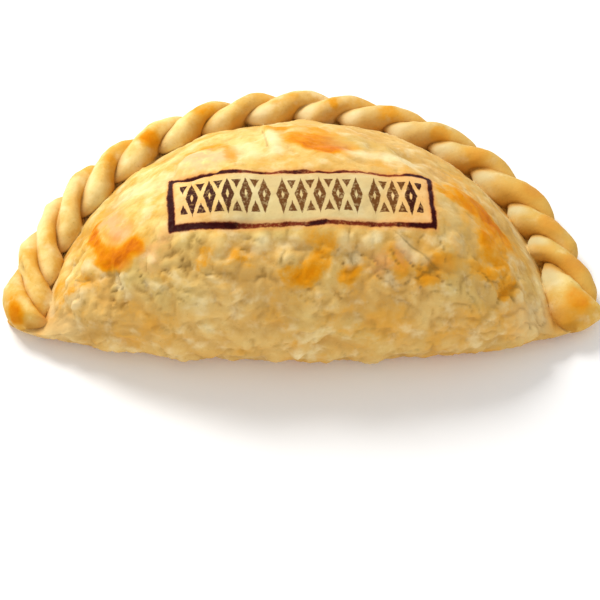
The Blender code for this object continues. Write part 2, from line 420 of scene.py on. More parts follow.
crustRelief = {
    # kinds of unevenness: how wide, how high, seed, and the share of it where the crust hardly puffed
    "swell": (11.0, 1.2, 9.3, 1.0),
    "pillow": (8.0, 1.4, 6.6, 0.4),
    "puff": (5.4, 0.7, 3.7, 0.0),
    "blister": (4.0, 0.9, 3.7, 0.35),
    "wrinkle": (2.0, 0.45, 5.1, 0.4),
    # and on the rope, where the last two run along the twist
    "ropeSwell": (5.0, 0.30, 1.3, 1.0),
    "ropeGrain": (2.2, 0.16, 8.8, 1.0),
    "ropePull": (1.0, 0.38, 2.4, 1.0),
    "ropeStreak": (0.4, 0.20, 6.1, 1.0),
    "warps": [(7.0, 2.4, (11.0, 23.0, 37.0)), (2.3, 0.7, (5.0, 17.0, 29.0))],  # bend the pattern
    "lift": (0.4, 3.5),  # no relief on the flat underside
    "frontStart": (-3.0, 5.0),  # below the stamp, where the crust puffed most
    "leftStart": ((36.0, 54.0), (-26.0, -14.0)),  # and low on the left
    "calmPuffs": 0.14,
    "leftPuffs": 0.5,
    "merged": (6.0, 41.0, -0.2, 0.4),  # some puffs have run together: patch size, seed and limits
    "broken": (5.0, 61.0, 0.02, 0.30),  # crevices come and go
    "crossBroken": (6.0, 51.0, 0.06, 0.36),
    "crackBroken": (4.0, 15.5, -0.5, 0.1),
    "creviceDepth": 0.4,
    "creviceWidth": (-0.14, -0.02),  # between the puffs, in puff sizes
    "veinWidth": (-0.09, 0.0),  # across them
    "lowCrevices": (0.35, -12.0, -6.0),  # fewer low on the front
    "bubbleEdge": (-1.15, -0.45),  # a bubble rises between these shares of its radius
    "bubbleFoot": (0.25, 0.8),  # and is sunk round its foot: share of its height, width
    "pressedFlat": 0.6,  # by the hot stamp
    "stampDepth": 0.14,
    "crackDepth": 0.4,
    "crackWidth": 0.5,
    "crackLip": (1.4, 0.8, 0.9),  # how far beside it, how wide, how high
    "ridgeHeight": 0.9,
    "ridgeWidth": 1.8,
    "tuckDepth": 0.6,
    "tuckWidth": 0.5,
    "tuckLip": (1.5, 0.9, 0.4),
    "ridge": [(-8.2, 46.0), (-7.0, 38.0), (-6.0, 31.0), (-5.6, 25.0)],
    "single": [  # bubbles and dimples that stand alone: middle, radius, height
        ((-22.5, 28.5), 8.2, 1.6),
        ((-55.6, 9.0), 2.8, 0.7),
        ((-50.6, 1.4), 3.0, 0.8),
        ((-53.4, -3.6), 4.4, 0.9),
        ((-58.9, 6.5), 2.4, 0.4),
        ((-8.5, -2.6), 2.6, 0.55),
        ((10.6, -2.6), 2.6, 0.35),
        ((17.3, -1.5), 2.8, 0.35),
        ((23.5, -1.6), 2.5, 0.35),
        ((13.2, -6.6), 2.6, 0.4),
        ((29.0, -4.2), 2.8, 0.5),
        ((-18.0, -2.6), 2.8, 0.5),
        ((-2.4, -5.8), 3.2, 0.6),
        ((37.5, 1.5), 2.8, 0.5),
        ((22.2, 30.0), 2.0, -0.5),
        ((15.7, 24.7), 1.8, -0.4),
        ((13.4, 32.0), 2.0, -0.4),
        ((18.7, 36.0), 2.6, -0.5),
        ((27.5, 35.0), 3.6, -0.8),
    ],
    "cracks": [
        [(-8.9, 42.0), (-8.3, 36.0), (-7.6, 30.5)],
        [(12.2, 0.4), (11.7, -3.0), (12.8, -6.2)],
        [(22.9, 0.4), (24.8, -0.9), (29.1, -3.1), (31.1, -4.4), (33.1, -5.6)],
        [(-57.4, 10.4), (-56.0, 7.4), (-54.4, 6.4), (-52.8, 7.6)],
        [(-53.2, -0.4), (-51.6, -1.6), (-49.6, -1.4)],
    ],
    "ropeFolds": [  # where the two ends of the rope are tucked in
        [(-70.3, 11.3, 8.2), (-69.3, 5.6, 9.0), (-67.7, 1.8, 9.2), (-66.6, 1.0, 9.2)],
        [(66.6, 9.2, 9.2), (68.2, 8.0, 9.2), (69.6, 6.4, 9.0), (71.0, 6.4, 8.6)],
        [(-64.2, 9.8, 4.4), (-63.5, 6.0, 4.6), (-63.1, 2.6, 4.8), (-62.9, -1.0, 5.0)],
        [(62.5, 16.0, 4.4), (62.9, 11.0, 4.4), (63.0, 5.9, 4.6)],
    ],
}

stamp = {  # a burnt rectangle with a row of plain marks
    "halfWidths": (30.9, 31.8),  # at the bottom and at the top
    "centres": (1.15, 0.5),
    "halfHeight": 8.2,
    "bottom": (1.2, 0.015, 1.5),  # in the middle, its slope and how much higher at the ends
    "top": (17.8, 0.012, 4.1),
    "lowest": 20.0,  # nothing of it is printed below this height
    "line": 0.40,  # half the width of the line
    "period": 4.3,  # from one lozenge to the next
    "rowEnd": 28.6,
    "gaps": (-6.45, 15.05),  # the triangle is left out here
    "lozenge": (0.27, 0.95),  # how fast it narrows, and half its width
    "wedge": (0.36, 1.3, 4.4),  # the same for the triangles, and how tall
    "ragged": 0.7,  # how far the crumb moves an edge
    "charredWider": 0.20,
    "lowLeftWider": 0.22,
    "lineEdge": (0.30, -0.15),
    "coreEdge": (0.10, -0.30),
    "markEdge": (0.70, 0.48),
    "wear": (0.6, 0.26, 0.52),  # the iron pressed unevenly
    "lineWear": 0.3,
    "markWear": 0.5,
}

normals = coordinates(empanada.data, "normal")
x, y, z = places.T
c = crustRelief
lift = smooth(z, *c["lift"])
front = smooth(-y, *c["frontStart"])
leftBase = smooth(-x, *c["leftStart"][0]) * smooth(-z, *c["leftStart"][1])
rimFade = np.array([domeDistance(a, max(b, 0.0)) for a, b in zip(x, y)])
loose = places.copy()
for size, reach, seeds in c["warps"]:
    loose += reach * np.stack([grain(places, size, seed) for seed in seeds], axis=1)
puffShare = np.clip(c["calmPuffs"] + (1.0 - c["calmPuffs"]) * front + c["leftPuffs"] * leftBase, 0.0, 1.0)


def unevenness(name):
    size, height, seed, calmShare = crustRelief[name]
    return size, seed, height * (calmShare + (1.0 - calmShare) * puffShare)


def scattered(size, seed, low, high):  # soft-edged patches of 0 and 1
    return smooth(grain(places, size, seed), low, high)


size, seed, height = unevenness("swell")
relief = height * grain(places, size, seed)
size, seed, height = unevenness("pillow")
relief += height * (np.abs(grain(loose, size, seed)) ** 0.7 - 0.4)  # round, with sharp hollows
size, seed, height = unevenness("puff")
near, second = cells(loose, size, seed)
relief += height * (0.2 + 0.8 * scattered(*c["merged"])) * (smooth(second - near, 0.0, 0.6) - 0.6)
size, seed, height = unevenness("blister")
veins = np.abs(grain(loose, size, seed))
relief += height * (veins**0.7 - 0.4)
# narrow crevices, some between the puffs and some across them
crevice = smooth(near - second, *c["creviceWidth"]) * scattered(*c["broken"])
crossing = smooth(-veins, *c["veinWidth"]) * scattered(*c["crossBroken"])
fewest, lowest, highest = c["lowCrevices"]
crevice = np.maximum(crevice, crossing) * (fewest + (1.0 - fewest) * smooth(y, lowest, highest))
crevice *= 1.0 - 0.5 * leftBase
relief -= c["creviceDepth"] * crevice * puffShare
size, seed, height = unevenness("wrinkle")
relief += height * (np.abs(grain(loose, size, seed)) - 0.2)


def bank(distance, offset, width):  # a soft ridge that runs beside a line, or on it
    return np.exp(-((distance - offset) / width) ** 2)


uneven = 0.12 * grain(places, 4.0, 12.1)
(outer, inner), (footShare, footWidth) = c["bubbleEdge"], c["bubbleFoot"]
for middle, radius, height in c["single"]:
    away = strokeDistance(places, [middle]) + radius * uneven
    relief += height * smooth(-away, outer * radius, inner * radius)
    relief -= footShare * abs(height) * bank(away, -outer * radius, footWidth)
raised = relief.copy()

farOff = 20.0
crackDistance, crackSide = np.full(len(places), farOff), np.full(len(places), farOff)
for route in c["cracks"]:
    away, side = strokeDistance(places, route), strokeSide(places, route)
    crackSide = np.where(away < crackDistance, away * side, crackSide)
    crackDistance = np.minimum(crackDistance, away)
crackSide += 0.35 * grain(places, 3.0, 2.2) + 0.12 * grain(places, 1.2, 6.2)
nearCrack = smooth(-crackDistance, -1.6, -0.8) * scattered(*c["crackBroken"])
lipOffset, lipWidth, lipHeight = c["crackLip"]
lip = lipHeight * bank(crackSide, lipOffset, lipWidth)
relief += c["crackDepth"] * (lip - bank(crackSide, 0.0, c["crackWidth"])) * nearCrack
ridgeAway = strokeDistance(places, c["ridge"]) + 0.3 * grain(places, 3.0, 7.7)
relief += c["ridgeHeight"] * bank(ridgeAway, 0.0, c["ridgeWidth"])

halfWidths, centres = stamp["halfWidths"], stamp["centres"]
low, high = (middle + slope * x + rise * (x / halfWidths[0]) ** 2
             for middle, slope, rise in (stamp["bottom"], stamp["top"]))
stampShare = (y - low) / (high - low)
stampUp = (stampShare - 0.5) * 2.0 * stamp["halfHeight"]
stampHalf = halfWidths[0] + (halfWidths[1] - halfWidths[0]) * stampShare
stampAcross = x - centres[0] - (centres[1] - centres[0]) * stampShare
stampAcross *= halfWidths[0] / stampHalf
offStamp = onRope | (z < stamp["lowest"])
stampUp = np.where(offStamp, np.copysign(90.0, stampUp), stampUp)  # moved well off it
stampEdge = np.maximum(np.abs(stampAcross) - halfWidths[0], np.abs(stampUp) - stamp["halfHeight"])
relief *= 1.0 - c["pressedFlat"] * smooth(-stampEdge, 0.0, 1.5)
relief -= c["stampDepth"] * smooth(-np.abs(stampEdge), -1.1, -0.3)
relief *= 1.0 - smooth(rimFade, 0.94, 1.0)

ropeRelief = np.zeros(len(places))
alongTwist = np.stack((crimpShare * 2.6, crimpOut * 0.55, crimpNumber * 3.7), axis=1)
for name, points in (("ropeSwell", places), ("ropeGrain", places),
                     ("ropePull", alongTwist), ("ropeStreak", alongTwist)):
    size, seed, height = unevenness(name)
    ropeRelief += height * grain(points, size, seed)
tucked = np.zeros(len(places))
uneven = 0.2 * grain(places, 2.5, 3.1)
lipOffset, lipWidth, lipHeight = c["tuckLip"]
for route in c["ropeFolds"]:
    away = strokeDistance(places, route)
    aside = away * strokeSide(places, route) + uneven
    close = smooth(-away, -2.6, -1.2)
    groove = bank(aside, 0.0, c["tuckWidth"])
    tucked = np.maximum(tucked, groove * close)
    ropeRelief += (lipHeight * bank(aside, -lipOffset, lipWidth) - c["tuckDepth"] * groove) * close
relief = np.where(onRope, ropeRelief, relief) * lift
moved = places + normals * relief[:, None]
moved[:, 2] = np.maximum(moved[:, 2], 0.0)
print("crust relief:", round(float(relief.min()), 2), "to", round(float(relief.max()), 2), "mm")

toasting = {
    # what the oven did. Name: (line over the crust, its half width, how brown)
    "leftLimb": ([(-50.9, 18.0), (-50.9, 14.0), (-50.0, 10.0), (-48.4, 6.0), (-46.8, 3.0)], 1.7, 0.48),
    "leftBlob": ([(-46.0, 1.8), (-43.4, 0.2), (-41.4, -1.4), (-39.2, 0.8)], 3.5, 0.46),
    "leftHeart": ([(-38.8, 1.8), (-40.4, -0.6), (-43.2, -1.2)], 1.8, 0.60),
    "leftVein": ([(-47.4, 10.6), (-45.6, 7.0), (-43.6, 5.0)], 1.1, 0.26),
    "leftStain": ([(-43.4, 10.2), (-42.0, 7.8)], 1.2, 0.20),
    "leftWash": ([(-49.5, 21.0), (-47.0, 9.0), (-41.0, 0.0)], 7.5, 0.13),
    "leftGold": ([(-59.0, 3.0), (-57.6, -1.0), (-52.0, -2.0)], 3.0, 0.13),
    "topHeart": ([(3.0, 31.0), (7.0, 29.6)], 3.8, 0.46),
    "topPatch": ([(1.5, 34.5), (5.5, 36.0), (10.0, 33.0)], 5.6, 0.40),
    "topBand": ([(-6.5, 43.5), (-1.0, 44.5), (5.0, 43.2), (10.0, 39.0)], 2.6, 0.24),
    "bubbleRim": ([(-28.8, 29.0), (-26.6, 35.6), (-21.6, 36.8), (-17.0, 31.6), (-15.9, 25.0)],
                  1.8, 0.17),
    "bubbleTop": ([(-23.5, 33.4), (-20.0, 32.5)], 2.6, 0.20),
    "rightTop": ([(38.0, 19.0), (41.5, 19.0)], 4.6, 0.30),
    "rightStreak": ([(42.5, 18.6), (45.5, 18.0), (47.0, 17.0)], 5.6, 0.29),
    "rightHeart": ([(47.6, 17.6), (49.0, 16.2)], 3.8, 0.37),
    "rightFall": ([(47.5, 13.5), (46.4, 9.0), (45.4, 4.5), (45.1, 1.4)], 3.4, 0.24),
    "rightEdge": ([(51.8, 14.5), (51.4, 11.0)], 3.2, 0.26),
    "rightLow": ([(48.8, 1.7), (51.9, -0.9), (49.8, -4.9)], 2.6, 0.20),
    "rightWash": ([(44.0, 22.0), (48.5, 14.0), (46.5, 0.0)], 7.5, 0.13),
    "belowA": ([(-21.6, -4.4), (-22.6, -6.0)], 2.4, 0.18),
    "belowB": ([(4.9, -6.2), (2.5, -8.2), (0.5, -8.8)], 3.6, 0.25),
    "belowC": ([(12.4, -8.4), (11.0, -9.6)], 2.4, 0.15),
    "belowD": ([(23.8, -6.8)], 2.4, 0.12),
    "goldA": ([(-14.0, -5.2), (-6.5, -4.6)], 3.0, 0.10),
    "goldB": ([(7.6, -3.6), (4.0, -2.6)], 2.6, 0.10),
    "goldC": ([(16.6, -4.6), (21.9, -4.2)], 2.6, 0.10),
    "goldD": ([(34.4, -4.5), (30.6, -7.0)], 3.2, 0.12),
}
ropeToasting = {
    "ropeA": ([(-51.2, 46.0, 8.5)], 2.6, 0.14),
    "ropeB": ([(-40.8, 55.2, 8.8)], 3.0, 0.40),
    "ropeC": ([(-27.1, 65.8, 8.5), (-25.0, 66.6, 8.5)], 2.6, 0.18),
    "ropeD": ([(-15.3, 69.7, 8.5)], 2.6, 0.06),
    "ropeE": ([(-4.5, 71.5, 8.5), (-2.0, 71.3, 8.5)], 2.6, 0.05),
    "ropeF": ([(9.2, 68.8, 8.8)], 2.4, 0.24),
    "ropeG": ([(25.1, 65.2, 8.5)], 3.0, 0.16),
    "ropeH": ([(38.6, 56.6, 8.5)], 3.0, 0.16),
    "ropeI": ([(48.4, 49.3, 8.5)], 3.0, 0.17),
    "ropeJ": ([(61.6, 36.4, 8.5)], 3.2, 0.20),
    "ropeK": ([(66.4, 25.7, 8.5)], 3.4, 0.18),
    "ropeL": ([(70.4, 11.8, 8.5)], 3.4, 0.20),
    "rightEnd": ([(69.2, 0.6, 8.8)], 3.2, 0.26),
    "leftTail": ([(-69.6, -2.8, 7.2)], 3.0, 0.56),
    "tailWash": ([(-71.5, -1.0, 6.5), (-69.0, -4.5, 5.5), (-64.5, -4.5, 6.5)], 4.0, 0.22),
}
flouryAndLit = {  # hardly browned at all, and painted highlights where marked
    "shoulder": ([(-44.0, 27.0), (-37.0, 22.0)], 5.0, 0.4),
    "crown": ([(-13.8, 32.5), (-11.5, 27.0)], 3.0, 0.75),
    "ridge": ([(-7.4, 39.5), (-6.2, 33.5), (-5.6, 26.0)], 1.8, 0.85),
    "left": ([(-61.4, 7.0), (-61.8, 2.0), (-61.0, -3.0)], 1.6, 0.7),
    "rightOfTop": ([(14.0, 29.0), (26.8, 29.8), (30.0, 31.5)], 2.8, 0.85),
    "rightPale": ([(36.2, 12.6), (37.3, 3.0), (38.4, 0.8)], 2.4, 0.2),
    # belowA to belowF: painted highlights on the tops of the bubbles below the stamp
    "belowA": ([(-8.1, -1.9), (-9.3, -3.6)], 1.5, 0.6),
    "belowB": ([(10.2, -2.9), (11.6, -1.6)], 1.3, 0.5),
    "belowC": ([(16.0, -2.2), (18.6, -0.9)], 1.3, 0.5),
    "belowD": ([(24.6, -2.2), (27.6, -3.8)], 1.6, 0.7),
    "belowE": ([(12.0, -6.6), (13.6, -5.9)], 1.3, 0.5),
    "belowF": ([(29.8, -4.4)], 1.5, 0.6),
    "leftTip": ([(-62.0, -7.0), (-57.0, -10.0)], 4.0, 0.35),
    "rightFoot": ([(60.0, -4.0), (56.0, -9.0)], 5.0, 0.5),
    "rightRim": ([(49.0, 36.0), (57.0, 22.0), (60.0, 8.0), (60.5, -2.0)], 2.4, 0.5),
    # painted highlight on the left crimps, which face the light
    "ropeLeftLit": ([(-70.0, 20.0, 7.0), (-66.0, 30.0, 7.0), (-58.0, 40.0, 7.0)], 3.4, 0.6),
}
blushes = {  # pale and a little pink, where a blister lifted off and dried
    "left": ([(-47.4, 17.0), (-45.4, 12.0), (-43.0, 7.0)], 3.2, 1.0),
    "bubble": ([(-25.0, 31.0), (-22.0, 26.0)], 5.0, 1.0),
    "aboveStamp": ([(-33.0, 22.0), (-28.0, 24.0)], 3.0, 0.5),
    "midLeft": ([(-35.0, -3.0), (-32.0, 1.0)], 3.0, 0.4),
    "belowStamp": ([(24.0, -4.4), (20.0, -6.0)], 3.0, 0.4),
}
sages = {  # greenish, where the dough stayed thin and damp
    "topRight": ([(13.0, 37.0), (22.0, 36.0), (27.0, 33.0)], 6.0, 0.9),
    "left": ([(-43.0, -6.0), (-38.0, -5.0)], 3.0, 0.8),
    "right": ([(40.0, 6.0), (41.5, 0.0)], 3.0, 0.5),
    "rightFront": ([(36.0, -6.0), (45.0, -9.0)], 4.0, 0.5),
    "below": ([(-14.0, -1.6), (-4.0, -1.4)], 1.8, 0.5),
}
ragged = 0.9 * grain(places, 5.0, 4.4) + 0.7 * grain(places, 1.9, 6.6)


def patches(table, soft):  # the strokes of a table, with ragged edges
    total = np.zeros(len(places))
    for route, halfWidth, strength in table.values():
        away = strokeDistance(places, route) + ragged
        edge = strength * smooth(-away, -halfWidth * (1.0 + 0.5 * soft), -halfWidth * (1.0 - 0.7 * soft))
        total = np.maximum(total, edge)
    return total


evenBrown = {
    # how brown where nothing else shows, on the crust and on the rope
    "base": (0.23, 0.18),
    # browner to the right on the crust and more so on the rope: partly their own tone, partly painted
    # shade where the right side turns from the light
    "rightSide": (0.07, 0.20),
    "front": 0.05,
    # painted shade: browner on the crust along the rope
    "seam": 0.05,
    "luck": 0.03,  # every crimp browned a little differently
    "crimpShadedSide": 0.13,  # painted shade: each crimp is browner over its later part, the side turned from the light
    "crimpLitSide": -0.10,  # and painted light: paler over its first part, the side that faces the light
    "rightStreaks": 0.06,
    # paler where floury, and where highlights are painted
    "flouryAndLit": -0.16,
    "onTray": 0.22,
    # unevenness: size, seed, and how much on the crust and on the rope
    "clouds": (10.0, 21.0, 0.11, 0.12),
    "specks": (4.5, 31.0, 0.10, 0.12),
}

pinch = np.abs(2.0 * crimpShare - 1.0)  # 1 in a crease
domeward = smooth(-crimpOut, -0.9, 0.5)
# painted shade: darker gold in the creases of the rope and on each crimp's later side towards the crust
creaseShade = smooth(pinch, 0.6, 1.0) * (0.4 + 0.6 * domeward)
creaseShade = np.maximum(creaseShade, smooth(crimpShare, 0.42, 0.95) * domeward) * onRope
creaseShade *= 1.0 - 0.5 * smooth(x, -35.0, -10.0) * smooth(-x, -45.0, -20.0)  # lighter at the back
# painted highlight on the first half of each crimp, on its side towards the crust, from the back to the
# right end
litCrimpStart = smooth(crimpShare, 0.04, 0.14) * smooth(-crimpShare, -0.5, -0.25)
litCrimpStart *= smooth(-crimpOut, 0.1, 0.7) * smooth(x, -40.0, -5.0) * onRope
pit = smooth(rimFade, 0.99, 1.0) * smooth(-rimFade, -1.045, -1.02)  # painted shade on the crust seen between two crimps
# painted shade in the rope's notches, where it touches the crust, and in the tucks at its two ends
notch = np.where(onRope, smooth(pinch, 0.84, 1.0) * smooth(-crimpOut, -0.1, 0.5), pit)
touching = np.where(onRope, smooth(-rimFade, -1.05, -1.0), 0.0)
notch = np.maximum(np.maximum(notch, 0.25 * touching) * smooth(y, -8.0, -4.0), tucked)
# painted shade on the crust where it meets the rope
seam = np.where(onRope, 0.0, smooth(rimFade, 0.955, 1.0) * smooth(-rimFade, -1.06, -1.03))
seam *= smooth(y, -8.0, -4.0)
rightward = smooth(x + 0.2 * y, -30.0, 45.0)
lateward = smooth(x, 8.0, 56.0) * smooth(y, -6.0, 8.0)

b = evenBrown
onCrust = b["base"][0] + b["rightSide"][0] * rightward + b["front"] * front
downwards = np.stack((x / 1.7, y / 9.0, z / 9.0), axis=1)  # streaks run down the right side
onCrust += b["rightStreaks"] * smooth(x, 15.0, 45.0) * grain(downwards, 1.0, 3.3)
onTwist = b["base"][1] + b["rightSide"][1] * lateward
onTwist += b["luck"] * np.array([math.sin(7.3 * number) for number in crimpNumber])
onTwist += b["crimpShadedSide"] * smooth(crimpShare, 0.35, 0.95)
onTwist += b["crimpLitSide"] * smooth(-crimpShare, -0.40, -0.05)
brown = np.where(onRope, onTwist, onCrust)
for points, (size, seed, crustShare, ropeShare) in ((places, b["clouds"]), (loose, b["specks"])):
    brown += np.where(onRope, ropeShare, crustShare) * grain(points, size, seed)
# pale where floury, and painted highlights on bubbles and crimps
paleAndLit = np.maximum(patches(flouryAndLit, 1.2), litCrimpStart * (1.0 - 0.5 * lateward))
brown += b["seam"] * seam + b["flouryAndLit"] * paleAndLit
toast = np.where(onRope, patches(ropeToasting, 0.8), patches(toasting, 0.8))
toast = np.maximum(toast, b["onTray"] * smooth(-z + 0.5 * ragged, -1.8, -0.2))
# painted shade: a darker ochre in the low places of the crust's relief
hollowShade = np.where(onRope, 0.0, smooth(-raised, -0.1, 0.9))
# the crevices' colour is painted shade in them
crevice *= (0.2 + 0.8 * puffShare) * smooth(-rimFade, -0.93, -0.85) * ~onRope
crevice *= 1.0 - 0.8 * smooth(toast, 0.05, 0.25)

shift = [0.5 * (low + high) / metre for low, high in zip(*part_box("empanada"))]
for axis in (0, 1):  # set over the solid, whose origin is at its middle
    moved[:, axis] += shift[axis] - 0.5 * (places[:, axis].min() + places[:, axis].max())
empanada.data.vertices.foreach_set("co", (moved * metre).ravel())
gap = np.min([np.abs(stampAcross - spot) for spot in stamp["gaps"]], axis=0)
masks = {
    "brown": brown,
    "toast": toast,
    "paleAndLit": paleAndLit,
    "blush": np.where(onRope, 0.0, patches(blushes, 1.3)) * (1.0 - smooth(toast, 0.12, 0.5)),
    # on the rope, greener towards the right end: partly its own tone, partly painted shade
    "sage": np.where(onRope, 0.6 * lateward, patches(sages, 1.3)),
    "hollowShade": hollowShade,
    "crevice": crevice,
    # painted highlight: cream on the raised tops of the crust
    "litCrest": np.where(onRope, 0.0, smooth(raised, 0.3, 1.3)),
    "creaseShade": creaseShade,
    # painted highlight at the start of each crimp, greyer green towards the right end
    "litStartRight": litCrimpStart * lateward,
    "notch": notch,
    "seam": seam,
    "crack": np.where(onRope, farOff, np.clip(crackSide, -2.0, 2.0)),
    "nearCrack": np.where(onRope, 0.0, nearCrack),
    "stampAcross": stampAcross,
    "stampUp": stampUp,
    "stampEdge": np.where(offStamp, 50.0, stampEdge),
    "gapWall": 9.0 * smooth(-gap, -1.2, -1.0),
    # tan to the right, there partly painted shade, and along the front
    "tanRightFront": np.maximum(rightward * smooth(-x, -64.0, -50.0), 0.9 * front * (1 - onRope)),
}
for name, values in masks.items():
    layer = empanada.data.attributes.new(name, "FLOAT", "POINT")
    layer.data.foreach_set("value", values.astype(np.float32))
empanada.data.shade_smooth()
empanada.data.update()
print("empanada:", sum(len(p.vertices) - 2 for p in empanada.data.polygons), "triangles")


def linear(code):
    parts = [int(code[i:i + 2], 16) / 255 for i in (1, 3, 5)]
    return tuple(c / 12.92 if c < 0.04045 else ((c + 0.055) / 1.055) ** 2.4 for c in parts) + (1.0,)


def addNode(tree, kind, inputs=(), **settings):
    # inputs by number or name, each a value, a socket or a whole node for its first output
    made = tree.nodes.new("ShaderNode" + kind)
    for name, value in settings.items():
        setattr(made, name, value)
    for place, value in inputs.items() if isinstance(inputs, dict) else enumerate(inputs):
        if isinstance(value, bpy.types.Node):
            value = value.outputs[0]
        if isinstance(value, bpy.types.NodeSocket):
            tree.links.new(value, made.inputs[place])
        else:
            made.inputs[place].default_value = value
    return made


crustFinish = {
    # how brown: colour
    "browning": {
        0.00: "#f6e09c",
        0.16: "#edcc7c",
        0.30: "#e0b052",
        0.42: "#dfa036",
        0.54: "#df9010",
        0.66: "#d98000",
        0.80: "#cc6e00",
        1.00: "#a84e00",
    },
    "tan": "#d8b070",
    "cream": "#fae9b8",
    "blush": "#f4ae7c",
    "sage": "#c6b26c",
    # painted highlight at the start of the crimps towards the right end
    "litStartRight": "#cfc596",
    # painted shade in the crust's hollows
    "hollowShade": "#b8863c",
    # painted shade in the rope's creases and on the crust along the rope
    "creaseShadeGold": "#c07c14",
    # painted shade in the notches, between the crimps and in the tucks
    "notchShadeBrown": "#84500a",
    # painted shade in the crevices and cracks; also darker specks on the pores
    "crackGrey": "#7d6430",
    "inside": "#cbbf92",
    "peach": "#f0b47c",
    "singe": "#dc8c48",
    "burnt": "#240006",
    "maroon": "#701404",
    "mark": "#603000",
    "markBurnt": "#2c0008",
    "roughness": 0.54,
    "roughnessRange": (-0.08, 0.10),
    "ior": 1.45,
    "gloss": 0.05,
    "fineBump": ("pores", 0.3, 0.2),  # its noise, strength and depth in mm
    "coarseBump": ("spots", 0.4, 0.8),
    "patterns": {
        # size in mm, detail, roughness
        "mottle": (12.0, 5.0, 0.62),  # how the oven's heat reached the crust
        "spots": (3.4, 4.0, 0.62),  # where the egg wash gathered
        "ragged": (1.3, 3.0, 0.65),  # the crumb's uneven edges
        "clouds": (20.0, 2.0, 0.5),  # where the dough was a little thinner
        "flecks": (5.0, 3.0, 0.55),  # dry flour that baked pale
        "pores": (0.8, 4.0, 0.6),  # real ones are about 0.2 mm, drawn coarser so that they show
    },
    "mottling": {"mottle": 0.40, "spots": 0.34, "ragged": 0.16},  # how far each shifts the browning
    "goldLimit": (0.40, 0.12),  # nothing but the toasted places goes past gold
    "toastSpots": 0.5,  # how spotty the toasted places are
    "plain": (0.46, 0.30),  # from this brown down, the crust shows its paler colours
    "fades": {
        # smooth steps: what each follows, where it is 0 and where it is 1
        "cloudy": ("clouds", 0.50, 0.68),
        "crumbly": ("ragged", 0.20, 0.50),
        "spotty": ("spots", 0.30, 0.60),
        "flecked": ("flecks", 0.50, 0.72),
        "pricked": ("pores", 0.60, 0.72),
        "blistered": ("spots", 0.34, 0.54),
        "split": ("crackAway", 0.5, 0.0),
        "leftEnd": ("stampAcross", -9.0, -21.0),
        "rightEnd": ("stampAcross", 23.5, 25.5),
        "blot": ("mottle", 0.46, 0.58),
        "leftPart": ("stampAcross", -8.0, -24.0),
        "lowPart": ("stampUp", 6.0, -2.0),
        "within": ("stampEdge", 0.2, -0.8),
        "midStamp": ("stampAcrossAway", 27.0, 14.0),
        "sideStamp": ("stampAcrossAway", 16.0, 28.0),
        "singed": ("stampEdgeAway", 1.7, 0.5),
    },
    "layers": (
        # laid over the browning in this order: colour, strength, and where it shows
        ("tan", 0.55, ("tanRightFront", "plain")),
        ("sage", 0.3, ("cloudy", "plain")),
        ("sage", 0.55, ("sage",)),
        # painted shade in the crevices
        ("crackGrey", 0.7, ("crevice", "crumbly")),
        # painted shade in the hollows
        ("hollowShade", 0.40, ("hollowShade", "plain")),
        # painted highlight on the raised tops
        ("cream", 0.42, ("litCrest", "spotty", "plain")),
        ("cream", 0.38, ("flecked", "plain")),
        ("crackGrey", 0.22, ("pricked", "plain")),
        # floury patches and painted highlights
        ("cream", 0.5, ("paleAndLit",)),
        ("blush", 0.75, ("blush", "blistered")),
        # painted highlight at the start of the crimps towards the right end
        ("litStartRight", 0.7, ("litStartRight",)),
        # painted shade in the rope's creases
        ("creaseShadeGold", 0.6, ("creaseShade",)),
        # painted shade on the crust along the rope
        ("creaseShadeGold", 0.25, ("seam",)),
        # painted shade in the notches
        ("notchShadeBrown", 0.6, ("notch",)),
        ("inside", 0.55, ("within", "midStamp")),
        ("peach", 0.35, ("within", "sideStamp")),
        # painted shade in the cracks
        ("crackGrey", 0.4, ("split", "nearCrack")),
        ("singe", 0.45, ("singed",)),
        ("mark", 0.95, ("marks",)),
        ("markBurnt", 0.85, ("marks", "ends")),
        ("maroon", 0.95, ("line",)),
        ("burnt", 0.92, ("lineCore", "charred")),
    ),
}


